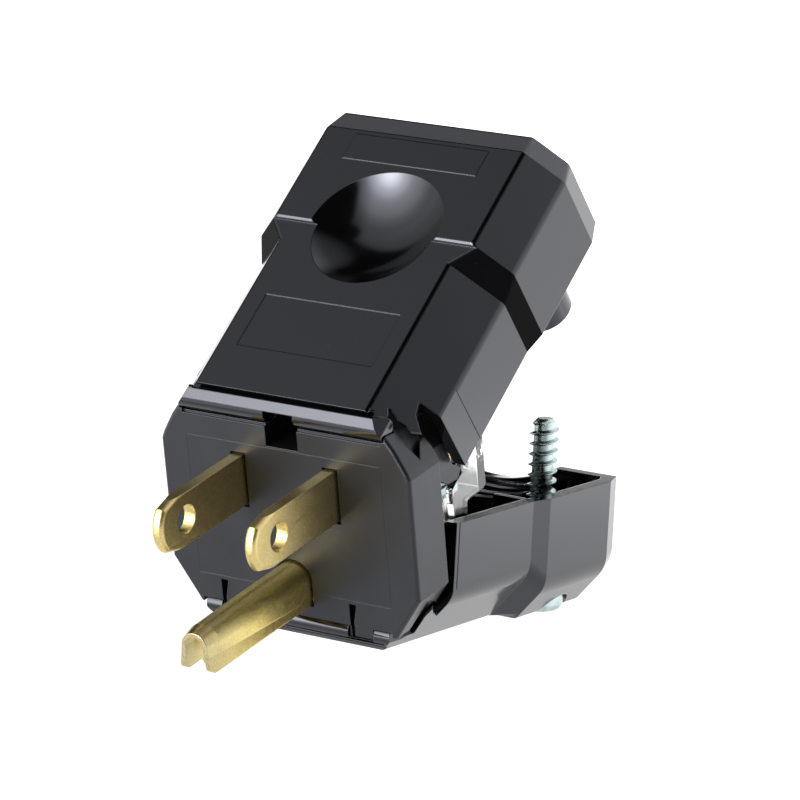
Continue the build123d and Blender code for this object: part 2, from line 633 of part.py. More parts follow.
with BuildPart() as upper_housing:
    add(env_u)
    add(cav_u, mode=Mode.SUBTRACT)
    add(trim_u, mode=Mode.SUBTRACT)
    add(dish_bulge.part)
    add(bosses_u.part)
    # bosses reach down past the rim into the lower half
    with BuildSketch(Plane.XY.offset(BOSS_U)):
        with Locations((SX, SY), (-SX, SY)):
            Circle(BOSS_R)
    extrude(amount=ZP + 2.0 - BOSS_U)
    # screw bores, open to the back so that a standing screw can swing in
    with BuildSketch(Plane.XY.offset(BOSS_U - 1)):
        with Locations((SX, SY), (-SX, SY)):
            Circle(S_MAJOR + 0.25)
        with Locations((SX, SY + 2.4), (-SX, SY + 2.4)):
            Rectangle(2 * (S_MAJOR + 0.25), 4.8)
    extrude(amount=S_TIP + 1.0 - BOSS_U + 1, mode=Mode.SUBTRACT)
    with Locations((0, DISH_Y, DISH_Z)):
        Sphere(DISH_RAD, rotation=(90, 0, 0), mode=Mode.SUBTRACT)
    add(skin_u)
    # cross ribs that grip the cord
    for y in (37.2, 40.2):
        with BuildSketch(Plane.XZ.offset(-y)):
            with BuildLine():
                Polyline((-7.6, ZP + 5.0), (-7.6, ZP + HT1 - 1.0), (7.6, ZP + HT1 - 1.0), (7.6, ZP + 5.0))
                ThreePointArc((7.6, ZP + 5.0), (0, ZP + 6.6), (-7.6, ZP + 5.0))
            make_face()
        extrude(amount=-1.2)
    # cord mouth in the rear wall
    with BuildSketch(Plane.XZ.offset(-(Y_R - 3))):
        with BuildLine():
            Polyline((-7.8, ZP - 1), (7.8, ZP - 1), (7.8, ZP + 1.2))
            ThreePointArc((7.8, ZP + 1.2), (0, ZP + 5.4), (-7.8, ZP + 1.2))
            Polyline((-7.8, ZP + 1.2), (-7.8, ZP - 1))
        make_face()
    extrude(amount=-6, mode=Mode.SUBTRACT)
    # shallow panel sunk in the front of the top face, and a low one raised at the rear
    with BuildSketch(Plane.XY.offset(ZP + HT1 + 1)):
        with Locations((0, (7.8 + 15.6) / 2)):
            Rectangle(18.6, 7.8)
    extrude(amount=-1.09, mode=Mode.SUBTRACT)
    with BuildSketch(Plane.XY.offset(ZP + HT2 - 0.5)):
        with Locations((0, (36.6 + 40.5) / 2)):
            Rectangle(18.6, 3.9)
    extrude(amount=0.56)
    # front of each side wall set back a little
    for k in (1, -1):
        with Locations((k * (C1 - 0.07 + 1), (Y_WALL + 10.75) / 2 - 0.5, ZP + 4.5)):
            Box(2, 10.75 - Y_WALL + 1, 9.6, mode=Mode.SUBTRACT)
    # hinge barrel under the front edge of the hood
    add(barrel_root.part)
    add(barrel_u.part)
    # groove between the lip and the barrel
    with BuildSketch(Plane.YZ.offset(-14.5)):
        with BuildLine():
            zt = ZP + HT1
            Polyline((0.9, zt - 0.17), (HY_U + 0.082, HZ_U + 1.72), (HY_U + 0.45, HZ_U + 1.32), (2.3, HZ_U + 1.32), (2.3, zt - 0.29),
                     (Y_FRONT, zt - 0.29), (Y_FRONT - 0.15, zt - 0.15), close=True)
        make_face()
    extrude(amount=29, mode=Mode.SUBTRACT)
    # window in the lower front of the barrel at the centre
    with BuildSketch(Plane.YZ.offset(-2.05)):
        with BuildLine():
            Polyline((HY_U - 2.5, HZ_U - 3), (HY_U - 2.5, HZ_U + 0.96), (HY_U - 1.0, HZ_U + 0.96), (HY_U - 0.3, HZ_U + 0.62),
                     (HY_U + 1.0, HZ_U + 0.35), (HY_U + 3.4, HZ_U - 0.1), (HY_U + 3.4, HZ_U - 3), close=True)
        make_face()
    extrude(amount=4.1, mode=Mode.SUBTRACT)
    # room for the hooks on the face block, leaving the rod and a thin shell over it
    for x0 in (4.8, -9.2):
        with BuildSketch(Plane.YZ.offset(x0)):
            with Locations((HY_U, HZ_U)):
                Circle(1.06)
            with BuildLine():
                Polyline((HY_U, HZ_U), (HY_U + 3.6, HZ_U + 0.35), (HY_U + 3.6, HZ_U - 3), (HY_U - 3, HZ_U - 3),
                         (HY_U - 3, HZ_U - 0.75), close=True)
            make_face()
        extrude(amount=4.4, mode=Mode.SUBTRACT)
        with BuildSketch(Plane.YZ.offset(x0 - 0.1)):
            with Locations((HY_U, HZ_U)):
                Circle(ROD_R)
        extrude(amount=4.6)
upper_open = upper_housing.part.rotate(Axis((0, HY_U, HZ_U), (1, 0, 0)), OPEN_U)
upper_open.label = "upper_housing"
export_step(upper_open, "parts/upper_housing.step")

# ---------------------------------------------------------------- lower housing, drawn shut
env_l = envelope(-1)
cav_l = cavity(-1)
trim_l = front_trim(-1)
skin_l = finger_skin(-1)

with BuildPart() as bosses_l:
    with BuildSketch(Plane.XY.offset(-20.5)):
        with Locations((SX, SY), (-SX, SY)):
            Circle(5.2)
    extrude(amount=-15.4 + 20.5)
    with BuildSketch(Plane.XY.offset(-16)):
        with Locations((SX, SY), (-SX, SY)):
            Circle(3.4)
    extrude(amount=BOSS_L + 16)
    # short ribs at the waist, flush with the rim
    for k in (1, -1):
        with Locations((k * 13.9, 24.3, (ZP - GAP + ZP - 13.5) / 2)):
            Box(5.0, 1.0, 13.5 - GAP)
    add(env_l, mode=Mode.INTERSECT)

with BuildPart() as barrel_l:
    with BuildSketch(Plane.YZ.offset(-12.75)):
        with Locations((HY_L, HZ_L)):
            Circle(BARREL_L)
        with BuildLine():
            Polyline((HY_L, HZ_L), (HY_L + BARREL_L, HZ_L), (3.6, ZP - HT1 + WALL), (3.6, ZP - HT1 + 0.3),
                     (Y_LIP + 0.05, ZP - HT1 + 0.3), (HY_L - BARREL_L * 0.8, HZ_L - BARREL_L * 0.6), close=True)
        make_face()
    extrude(amount=25.5)
    add(front_limit(-1), mode=Mode.INTERSECT)

with BuildPart() as lower_housing:
    add(env_l)
    add(cav_l, mode=Mode.SUBTRACT)
    add(trim_l, mode=Mode.SUBTRACT)
    add(bosses_l.part)
    add(skin_l)
    # screw holes with deep recesses for the heads
    with BuildSketch(Plane.XY.offset(-25)):
        with Locations((SX, SY), (-SX, SY)):
            Circle(S_MAJOR + 0.15)
    extrude(amount=20, mode=Mode.SUBTRACT)
    with BuildSketch(Plane.XY.offset(-25)):
        with Locations((SX, SY), (-SX, SY)):
            Circle(CB_R)
    extrude(amount=25 + CB_TOP, mode=Mode.SUBTRACT)
    # cross ribs that grip the cord
    for y in (37.2, 40.2):
        with BuildSketch(Plane.XZ.offset(-y)):
            with BuildLine():
                Polyline((-7.6, ZP - 2.6), (-7.6, ZP - HT1 + 1.0), (7.6, ZP - HT1 + 1.0), (7.6, ZP - 2.6))
                ThreePointArc((7.6, ZP - 2.6), (0, ZP - 4.0), (-7.6, ZP - 2.6))
            make_face()
        extrude(amount=-1.2)
    # cord saddle in the rear wall
    with BuildSketch(Plane.XZ.offset(-(Y_R - 3))):
        with BuildLine():
            Polyline((-8.8, ZP + 1), (8.8, ZP + 1), (8.8, ZP - GAP))
            ThreePointArc((8.8, ZP - GAP), (0, ZP - 2.45), (-8.8, ZP - GAP))
            Polyline((-8.8, ZP - GAP), (-8.8, ZP + 1))
        make_face()
    extrude(amount=-6, mode=Mode.SUBTRACT)
    for k in (1, -1):
        with Locations((k * (C1 - 0.07 + 1), (Y_WALL + 7.3) / 2 - 0.5, ZP - 4.5)):
            Box(2, 7.3 - Y_WALL + 1, 9.6, mode=Mode.SUBTRACT)
    # hinge barrel above the front lip
    add(barrel_l.part)
    # fine groove between the barrel and the lip
    with Locations((0, 0.0, -18.05)):
        Box(24.0, 1.5, 0.22, mode=Mode.SUBTRACT)
    # room for the two hooks on the face block, leaving the rod
    for x0 in (7.1, -10.6):
        with BuildSketch(Plane.YZ.offset(x0)):
            with Locations((HY_L, HZ_L)):
                Circle(1.13)
            with BuildLine():
                Polyline((HY_L, HZ_L), (HY_L - 1.6, HZ_L - 1.2), (HY_L - 2.4, HZ_L + 3), (HY_L + 3.4, HZ_L + 3),
                         (HY_L + 3.4, HZ_L - 0.75), close=True)
            make_face()
        extrude(amount=3.5, mode=Mode.SUBTRACT)
        with BuildSketch(Plane.YZ.offset(x0 - 0.1)):
            with Locations((HY_L, HZ_L)):
                Circle(ROD_R)
        extrude(amount=3.7)
lower_open = lower_housing.part.rotate(Axis((0, HY_L, HZ_L), (1, 0, 0)), OPEN_L)
lower_open.label = "lower_housing"
export_step(lower_open, "parts/lower_housing.step")


# ---------------------------------------------------------------- assembly screws, drawn in the shut lower half
def assembly_screw(k):
    """Thread-forming screw: core, pan head with a slot, and a flat end."""
    with BuildPart() as sc:
        with BuildSketch(Plane.XY.offset(S_SEAT)):
            with Locations((k * SX, SY)):
                Circle(S_MINOR)
        extrude(amount=S_TIP - S_SEAT)
        chamfer(sc.faces().sort_by(Axis.Z)[-1].edges(), length=0.35)
        with BuildSketch(Plane.XY.offset(S_SEAT)):
            with Locations((k * SX, SY)):
                Circle(S_HEAD_R)
        extrude(amount=-S_HEAD_H)
        fillet(sc.faces().sort_by(Axis.Z)[0].edges(), radius=0.9)
        with BuildSketch(Plane.XY.offset(S_SEAT - S_HEAD_H)):
            with Locations(Location((k * SX, SY, 0), 30)):
                Rectangle(5.0, 0.95)
            with Locations(Location((k * SX, SY, 0), 120)):
                Rectangle(3.6, 0.95)
        extrude(amount=1.3, mode=Mode.SUBTRACT)
    return sc.part.rotate(Axis((0, HY_L, HZ_L), (1, 0, 0)), OPEN_L)


right_assembly_screw = assembly_screw(1)
right_assembly_screw.label = "right_assembly_screw"
export_step(right_assembly_screw, "parts/right_assembly_screw.step")
left_assembly_screw = assembly_screw(-1)
left_assembly_screw.label = "left_assembly_screw"
export_step(left_assembly_screw, "parts/left_assembly_screw.step")
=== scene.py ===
"""Looks of the opened straight blade plug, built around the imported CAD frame."""

import math
import bpy
import bmesh
from mathutils import Matrix, Vector


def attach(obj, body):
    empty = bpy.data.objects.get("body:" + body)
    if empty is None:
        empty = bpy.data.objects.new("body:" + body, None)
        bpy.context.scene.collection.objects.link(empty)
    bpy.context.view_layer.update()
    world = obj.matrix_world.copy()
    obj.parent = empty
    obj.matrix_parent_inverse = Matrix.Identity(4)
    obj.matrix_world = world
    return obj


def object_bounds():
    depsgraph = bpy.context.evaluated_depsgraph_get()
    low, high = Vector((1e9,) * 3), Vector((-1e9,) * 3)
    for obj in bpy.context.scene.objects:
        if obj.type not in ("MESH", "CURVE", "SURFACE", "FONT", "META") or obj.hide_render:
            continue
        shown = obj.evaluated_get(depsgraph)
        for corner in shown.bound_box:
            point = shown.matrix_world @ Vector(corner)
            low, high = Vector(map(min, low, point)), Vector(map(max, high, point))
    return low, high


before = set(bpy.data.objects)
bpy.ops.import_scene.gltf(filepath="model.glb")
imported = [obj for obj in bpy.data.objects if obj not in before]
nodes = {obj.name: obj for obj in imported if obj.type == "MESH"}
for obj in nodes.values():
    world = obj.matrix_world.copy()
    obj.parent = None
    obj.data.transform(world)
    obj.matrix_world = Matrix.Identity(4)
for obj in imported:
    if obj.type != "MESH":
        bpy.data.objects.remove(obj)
cad_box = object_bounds()
MM = 0.001

# where the halves stand open, as in the CAD
HY_L, HZ_L, OPEN_L = 1.15, -17.2, math.radians(-13.5)
HY_U, HZ_U, OPEN_U = 1.0, 9.0, math.radians(29.5)


def swing(p, hy, hz, a):
    """A point of a shut half, in mm, moved to where the half stands open, in metres."""
    y, z = p[1] - hy, p[2] - hz
    return Vector((p[0], hy + y * math.cos(a) - z * math.sin(a), hz + y * math.sin(a) + z * math.cos(a))) * MM


# ---------------------------------------------------------------- node helpers
def new_mat(name):
    m = bpy.data.materials.new(name)
    m.use_nodes = True
    nt = m.node_tree
    nt.nodes.clear()
    out = nt.nodes.new("ShaderNodeOutputMaterial")
    bsdf = nt.nodes.new("ShaderNodeBsdfPrincipled")
    nt.links.new(bsdf.outputs["BSDF"], out.inputs["Surface"])
    return m, nt, bsdf


def add(nt, kind, **props):
    n = nt.nodes.new(kind)
    for k, v in props.items():
        setattr(n, k, v)
    return n


def coords(nt, scale=(1, 1, 1), rot=(0, 0, 0)):
    tc = add(nt, "ShaderNodeTexCoord")
    mp = add(nt, "ShaderNodeMapping")
    mp.inputs["Scale"].default_value = scale
    mp.inputs["Rotation"].default_value = rot
    nt.links.new(tc.outputs["Object"], mp.inputs["Vector"])
    return mp.outputs["Vector"]


def noise(nt, vec, scale, detail=3.0, rough=0.55):
    n = add(nt, "ShaderNodeTexNoise")
    n.inputs["Scale"].default_value = scale
    n.inputs["Detail"].default_value = detail
    n.inputs["Roughness"].default_value = rough
    nt.links.new(vec, n.inputs["Vector"])
    return n.outputs["Fac"]


def remap(nt, val, a, b, c, d):
    n = add(nt, "ShaderNodeMapRange")
    for i, v in zip(("From Min", "From Max", "To Min", "To Max"), (a, b, c, d)):
        n.inputs[i].default_value = v
    nt.links.new(val, n.inputs["Value"])
    return n.outputs["Result"]


def ramp(nt, val, stops):
    n = add(nt, "ShaderNodeValToRGB")
    while len(n.color_ramp.elements) < len(stops):
        n.color_ramp.elements.new(0.5)
    for e, (p, c) in zip(n.color_ramp.elements, stops):
        e.position = p
        e.color = c
    nt.links.new(val, n.inputs["Fac"])
    return n.outputs["Color"]


def bump(nt, height, strength, dist, normal=None):
    n = add(nt, "ShaderNodeBump")
    n.inputs["Strength"].default_value = strength
    n.inputs["Distance"].default_value = dist
    nt.links.new(height, n.inputs["Height"])
    if normal is not None:
        nt.links.new(normal, n.inputs["Normal"])
    return n.outputs["Normal"]


def soft_edge(nt, radius):
    n = add(nt, "ShaderNodeBevel", samples=6)
    n.inputs["Radius"].default_value = radius
    return n.outputs["Normal"]


# ---------------------------------------------------------------- materials
def black_nylon(name, rough=0.12, grain=0.02, base=0.0012, dull=None, ior=1.53):
    """Moulded black nylon: smooth and glossy, with faint flow mottling, a very fine grain and a little dust.

    dull gives the swing of a half, the reach of its waist, whose slanted facets are duller, and where its satin rear
    bevel begins and how low it reaches; that bevel is rougher and also carries a painted sheen, its base colour lifted
    to pale grey.
    """
    m, nt, b = new_mat(name)
    v = coords(nt)
    mott = noise(nt, v, 260.0, 4.0)
    fine = noise(nt, v, 9000.0, 2.0)
    dust = remap(nt, noise(nt, v, 2300.0, 1.0), 0.80, 0.86, 0.0, 0.05)
    col = ramp(nt, mott, [(0.3, (base * 0.8, base * 0.85, base * 1.0, 1)), (0.7, (base * 1.25, base * 1.25, base * 1.35, 1))])
    mix = add(nt, "ShaderNodeMix", data_type="RGBA")
    nt.links.new(dust, mix.inputs[0])
    nt.links.new(col, mix.inputs[6])
    mix.inputs[7].default_value = (0.5, 0.5, 0.48, 1)
    nt.links.new(mix.outputs[2], b.inputs["Base Color"])
    nt.links.new(remap(nt, mott, 0.3, 0.7, rough - 0.02, rough + 0.03), b.inputs["Roughness"])
    b.inputs["IOR"].default_value = ior
    b.inputs["Specular Tint"].default_value = (0.94, 0.965, 1.08, 1)
    if dull:
        hy, hz, a, y0, y1, y2, z2 = dull
        shift = hy - hy * math.cos(a) - hz * math.sin(a)
        lift = hz + hy * math.sin(a) - hz * math.cos(a)
        sep = add(nt, "ShaderNodeSeparateXYZ")
        nt.links.new(coords(nt, (1, 1, 1), (-a, 0, 0)), sep.inputs[0])
        geo = add(nt, "ShaderNodeNewGeometry")
        gs = add(nt, "ShaderNodeSeparateXYZ")
        nt.links.new(geo.outputs["True Normal"], gs.inputs[0])
        slant = add(nt, "ShaderNodeMath", operation="ABSOLUTE")
        nt.links.new(gs.outputs["X"], slant.inputs[0])
        mask = remap(nt, slant.outputs[0], 0.35, 0.45, 0.0, 1.0)
        off = add(nt, "ShaderNodeMath", operation="ABSOLUTE")
        nt.links.new(sep.outputs["X"], off.inputs[0])
        for limit in (remap(nt, sep.outputs["Y"], (y0 - 0.1 - shift) * MM, (y0 - shift) * MM, 0.0, 1.0),
                      remap(nt, sep.outputs["Y"], (y1 + 0.1 - shift) * MM, (y1 - shift) * MM, 0.0, 1.0),
                      remap(nt, off.outputs[0], 0.0095, 0.0105, 0.0, 1.0)):
            k = add(nt, "ShaderNodeMath", operation="MULTIPLY")
            nt.links.new(mask, k.inputs[0])
            nt.links.new(limit, k.inputs[1])
            mask = k.outputs[0]
        nt.links.new(remap(nt, mask, 0.0, 1.0, 0.5, 0.03), b.inputs["Specular IOR Level"])
        r = add(nt, "ShaderNodeMath", operation="MAXIMUM")
        nt.links.new(remap(nt, mott, 0.3, 0.7, rough - 0.02, rough + 0.03), r.inputs[0])
        nt.links.new(remap(nt, mask, 0.0, 1.0, 0.0, 0.55), r.inputs[1])
        end = add(nt, "ShaderNodeMath", operation="MULTIPLY")
        nt.links.new(remap(nt, sep.outputs["Y"], (y2 - 0.05 - shift) * MM, (y2 + 0.05 - shift) * MM, 0.0, 1.0), end.inputs[0])
        nt.links.new(remap(nt, sep.outputs["Z"], (z2 - 0.05 - lift) * MM, (z2 + 0.05 - lift) * MM, 0.0, 1.0), end.inputs[1])
        satin = add(nt, "ShaderNodeMath", operation="MAXIMUM")
        nt.links.new(r.outputs[0], satin.inputs[0])
        nt.links.new(remap(nt, end.outputs[0], 0.0, 1.0, 0.0, 0.5), satin.inputs[1])
        nt.links.new(satin.outputs[0], b.inputs["Roughness"])
        # painted sheen: on the rear bevel the base colour is lifted to a pale grey, standing in for the light the bevel
        # catches
        painted_sheen = add(nt, "ShaderNodeMix", data_type="RGBA")
        nt.links.new(end.outputs[0], painted_sheen.inputs[0])
        nt.links.new(mix.outputs[2], painted_sheen.inputs[6])
        painted_sheen.inputs[7].default_value = (0.027, 0.027, 0.029, 1)
        nt.links.new(painted_sheen.outputs[2], b.inputs["Base Color"])
    nt.links.new(bump(nt, fine, grain, 0.00002, soft_edge(nt, 0.00014)), b.inputs["Normal"])
    return m


def brass(name, scale, dark=0.8, rough=0.3, tint=(0.66, 0.53, 0.235), amount=0.2, relief=0.04, tip_tone=None):
    """Rolled brass: fine draw lines along one direction, a fine bright grain and soft tarnish, optionally darker and
    cooler towards the tip.
    """
    m, nt, b = new_mat(name)
    lines = noise(nt, coords(nt, scale), 1.0, 5.0, 0.65)
    cloud = noise(nt, coords(nt), 300.0, 4.0, 0.6)
    grain = noise(nt, coords(nt), 4200.0, 2.0, 0.6)
    c1 = ramp(nt, cloud, [(0.25, tuple(t * dark for t in tint) + (1,)), (0.75, tuple(tint) + (1,))])
    mix = add(nt, "ShaderNodeMix", data_type="RGBA", blend_type="MULTIPLY")
    mix.inputs[0].default_value = amount
    nt.links.new(c1, mix.inputs[6])
    nt.links.new(ramp(nt, lines, [(0.3, (0.72, 0.7, 0.66, 1)), (0.65, (1, 1, 1, 1))]), mix.inputs[7])
    speck = add(nt, "ShaderNodeMix", data_type="RGBA", blend_type="MULTIPLY")
    speck.inputs[0].default_value = 1.0
    nt.links.new(mix.outputs[2], speck.inputs[6])
    nt.links.new(ramp(nt, grain, [(0.3, (0.84, 0.83, 0.8, 1)), (0.7, (1.1, 1.1, 1.12, 1))]), speck.inputs[7])
    nt.links.new(speck.outputs[2], b.inputs["Base Color"])
    # darker and cooler towards the tip: the colour is multiplied in from the second Y value to the first
    if tip_tone:
        sep = add(nt, "ShaderNodeSeparateXYZ")
        nt.links.new(coords(nt), sep.inputs[0])
        tip = add(nt, "ShaderNodeMix", data_type="RGBA", blend_type="MULTIPLY")
        nt.links.new(remap(nt, sep.outputs["Y"], tip_tone[0], tip_tone[1], 1.0, 0.0), tip.inputs[0])
        nt.links.new(speck.outputs[2], tip.inputs[6])
        tip.inputs[7].default_value = tip_tone[2] + (1,)
        nt.links.new(tip.outputs[2], b.inputs["Base Color"])
    b.inputs["Metallic"].default_value = 1.0
    r = add(nt, "ShaderNodeMath", operation="ADD")
    nt.links.new(remap(nt, lines, 0.3, 0.7, rough - 0.03, rough + 0.05), r.inputs[0])
    nt.links.new(remap(nt, grain, 0.35, 0.7, 0.0, 0.08), r.inputs[1])
    nt.links.new(r.outputs[0], b.inputs["Roughness"])
    nt.links.new(bump(nt, grain, 0.08, 0.00001, bump(nt, lines, relief, 0.00002, soft_edge(nt, 0.00016))), b.inputs["Normal"])
    return m


def zinc(name, tint=(0.41, 0.49, 0.49), rough=0.24):
    """Bright zinc plate: cool, slightly mottled, a little rougher in patches."""
    m, nt, b = new_mat(name)
    v = coords(nt)
    cloud = noise(nt, v, 900.0, 5.0, 0.65)
    fine = noise(nt, v, 5000.0, 3.0)
    nt.links.new(ramp(nt, cloud, [(0.28, tuple(t * 0.62 for t in tint) + (1,)), (0.5, tuple(tint) + (1,)),
                                  (0.75, tuple(min(1, t * 1.2) for t in tint) + (1,))]), b.inputs["Base Color"])
    b.inputs["Metallic"].default_value = 1.0
    nt.links.new(remap(nt, cloud, 0.3, 0.7, rough - 0.06, rough + 0.12), b.inputs["Roughness"])
    nt.links.new(bump(nt, fine, 0.12, 0.00002, soft_edge(nt, 0.0001)), b.inputs["Normal"])
    return m


def clear(name):
    """Clear polycarbonate with faint moulding waves."""
    m, nt, b = new_mat(name)
    v = coords(nt)
    wave = noise(nt, v, 300.0, 2.0)
    b.inputs["Base Color"].default_value = (0.93, 0.95, 0.95, 1)
    b.inputs["Transmission Weight"].default_value = 1.0
    b.inputs["IOR"].default_value = 1.585
    nt.links.new(remap(nt, noise(nt, v, 1500.0, 3.0), 0.3, 0.7, 0.03, 0.12), b.inputs["Roughness"])
    nt.links.new(bump(nt, wave, 0.08, 0.0001, soft_edge(nt, 0.0002)), b.inputs["Normal"])
    return m


def dyed(name):
    """Green-dyed plating on the ground screw."""
    m, nt, b = new_mat(name)
    cloud = noise(nt, coords(nt), 1100.0, 4.0)
    nt.links.new(ramp(nt, cloud, [(0.3, (0.02, 0.13, 0.05, 1)), (0.7, (0.06, 0.27, 0.11, 1))]), b.inputs["Base Color"])
    b.inputs["Metallic"].default_value = 1.0
    nt.links.new(remap(nt, cloud, 0.3, 0.7, 0.25, 0.4), b.inputs["Roughness"])
    nt.links.new(bump(nt, cloud, 0.08, 0.00002, soft_edge(nt, 0.0001)), b.inputs["Normal"])
    return m


M_UPPER = black_nylon("upper_nylon", 0.12, 0.012, 0.0012, (HY_U, HZ_U, OPEN_U, 23.9, 26.7, 41.2, 10.85))
M_LOWER = black_nylon("lower_nylon", 0.12, 0.012)
M_FACE = black_nylon("face_nylon", 0.36, 0.05, 0.0016, None, 1.47)
M_BLADE = brass("blade_brass", (1500, 300, 4200), 0.8, 0.32)
M_PIN = brass("pin_brass", (2600, 500, 2600), 0.86, 0.3, (0.93, 0.75, 0.25), 0.2, 0.02, (-0.0204, -0.010, (0.515, 0.545, 0.86)))
M_ZINC = zinc("zinc_plate")
M_NICKEL = zinc("nickel_plate", (0.68, 0.66, 0.62), 0.22)
M_BRASS_SCREW = brass("screw_brass", (3000, 3000, 300), 0.75, 0.28)
M_GREEN = dyed("green_plate")
M_CLEAR = clear("clear_polycarbonate")

looks = {
    "face_block": M_FACE, "upper_housing": M_UPPER, "lower_housing": M_LOWER, "terminal_retainer": M_CLEAR,
    "hot_blade": M_BLADE, "neutral_blade": M_BLADE, "ground_pin": M_PIN,
    "hot_terminal_screw": M_BRASS_SCREW, "neutral_terminal_screw": M_NICKEL, "ground_terminal_screw": M_GREEN,
    "hot_pressure_plate": M_ZINC, "neutral_pressure_plate": M_ZINC, "ground_pressure_plate": M_ZINC,
    "right_assembly_screw": M_ZINC, "left_assembly_screw": M_ZINC,
}
for n, m in looks.items():
    me = nodes[n].data
    me.materials.clear()
    me.materials.append(m)


# ---------------------------------------------------------------- screw threads
def thread(name, place, r0, r1, z0, z1, pitch, steps=40, crest=0.16):
    """A coarse thread as a swept ridge round a core: place(x, y, z) maps the screw's own mm to the scene."""
    bm = bmesh.new()
    turns = (z1 - z0) / pitch
    n = int(turns * steps)
    rings = []
    for i in range(n + 1):
        t = i / n
        a = 2 * math.pi * turns * t
        z = z0 + (z1 - z0) * t
        # the ridge grows out of the core and dies away at both ends
        g = min(1.0, t * turns / 0.9, (1 - t) * turns / 0.6)
        r = r0 + (r1 - r0) * max(0.0, g)
        w = pitch * 0.30
        prof = [(r0 - 0.12, -w * 1.05), (r0 + 0.02, -w * 0.72), (r, -crest * 0.5), (r, crest * 0.5),
                (r0 + 0.02, w * 0.72), (r0 - 0.12, w * 1.05)]
        rings.append([bm.verts.new(place(q * math.cos(a), q * math.sin(a), z + h)) for q, h in prof])
    for p, q in zip(rings, rings[1:]):
        for j in range(6):
            k = (j + 1) % 6
            bm.faces.new((p[j], p[k], q[k], q[j]))
    bm.faces.new(rings[0][::-1])
    bm.faces.new(rings[-1])
    bmesh.ops.recalc_face_normals(bm, faces=bm.faces)
    me = bpy.data.meshes.new(name)
    bm.to_mesh(me)
    bm.free()
    for p in me.polygons:
        p.use_smooth = True
    ob = bpy.data.objects.new(name, me)
    bpy.context.scene.collection.objects.link(ob)
    mod = ob.modifiers.new("edges", "EDGE_SPLIT")
    mod.split_angle = math.radians(38)
    return ob


for side, k in (("right", 1), ("left", -1)):
    def put(x, y, z, k=k):
        return swing((k * 11.5 + x, 35.0 + y, z), HY_L, HZ_L, OPEN_L)
    th = thread(side + "_screw_thread", put, 1.3, 1.78, -15.4, 3.5, 1.27)
    th.data.materials.append(M_ZINC)
    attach(th, side + "_screw")

for nm, x, y, z0, z1, body, slot, mat in (
        ("hot", -10.4, 12.4, -2.6, 4.0, "hot_clamp", "brass", M_BRASS_SCREW),
        ("neutral", 10.4, 12.4, -2.6, 4.0, "neutral_clamp", "nickel", M_NICKEL),
        ("ground", 0.0, 13.2, -12.4, -6.9, "ground_clamp", "green_screw", M_GREEN)):
    def put(a, b, c, x=x, y=y):
        return Vector((x + a, y + b, c)) * MM
    th = thread(nm + "_terminal_thread", put, 1.68, 1.74, z0, z1, 0.8, 28, 0.1)
    th.data.materials.append(mat)
    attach(th, body)

# ---------------------------------------------------------------- stage
bm = bmesh.new()
bmesh.ops.create_grid(bm, x_segments=1, y_segments=1, size=3.0)
me = bpy.data.meshes.new("floor")
bm.to_mesh(me)
bm.free()
floor = bpy.data.objects.new("floor", me)
# low enough for the lower half when it hangs fully open
floor.location = (0, 0, cad_box[0][2] - 0.0298)
bpy.context.scene.collection.objects.link(floor)
fm, fnt, fb = new_mat("floor_painted_glow")
fb.inputs["Base Color"].default_value = (0.15, 0.15, 0.15, 1)
fb.inputs["Roughness"].default_value = 0.9
fb.inputs["Specular IOR Level"].default_value = 0.0
# a glowing floor, painted light: its brightness changes along one direction, from the front left to the back right, in
# bands set for what the plug reflects; the dimmer band in front on the left is painted shade
ftc = add(fnt, "ShaderNodeTexCoord")
fd = add(fnt, "ShaderNodeVectorMath", operation="DOT_PRODUCT")
fnt.links.new(ftc.outputs["Object"], fd.inputs[0])
fd.inputs[1].default_value = (0.56, 0.83, 0.0)
fb.inputs["Emission Color"].default_value = (1, 1, 1, 1)
fr = add(fnt, "ShaderNodeValToRGB")
# painted light: the dip near the front left stands in for the plug's shadow, the rise at the back right for light in
# its side walls
stops = ((-0.24, 1.7), (-0.162, 1.3), (-0.145, 0.84), (-0.128, 0.72), (-0.112, 0.7), (-0.098, 0.78), (-0.06, 1.05), (0.06, 1.05),
         (0.1, 1.4), (0.132, 1.72), (0.146, 2.1), (0.165, 2.2), (0.185, 1.7), (0.24, 1.58))
while len(fr.color_ramp.elements) < len(stops):
    fr.color_ramp.elements.new(0.5)
for e, (d, v) in zip(fr.color_ramp.elements, stops):
    e.position, e.color = (d + 0.24) / 0.48, (v / 2.5, v / 2.5, v / 2.5, 1)
fnt.links.new(remap(fnt, fd.outputs["Value"], -0.24, 0.24, 0.0, 1.0), fr.inputs["Fac"])
fs = add(fnt, "ShaderNodeMath", operation="MULTIPLY")
fnt.links.new(fr.outputs["Color"], fs.inputs[0])
fs.inputs[1].default_value = 2.5
fnt.links.new(fs.outputs[0], fb.inputs["Emission Strength"])
me.materials.append(fm)

# world: one large softbox in front on the left, weaker light on the left and at the back right, dark elsewhere
world = bpy.data.worlds.new("studio")
bpy.context.scene.world = world
world.use_nodes = True
wn = world.node_tree
wn.nodes.clear()
wout = wn.nodes.new("ShaderNodeOutputWorld")
bg = wn.nodes.new("ShaderNodeBackground")
wn.links.new(bg.outputs[0], wout.inputs[0])
tc = wn.nodes.new("ShaderNodeTexCoord")


def aim(az, el):
    """Direction at an azimuth from the front, positive to the right, and an elevation, in degrees."""
    az, el = math.radians(az), math.radians(el)
    return Vector((math.sin(az) * math.cos(el), -math.cos(az) * math.cos(el), math.sin(el)))


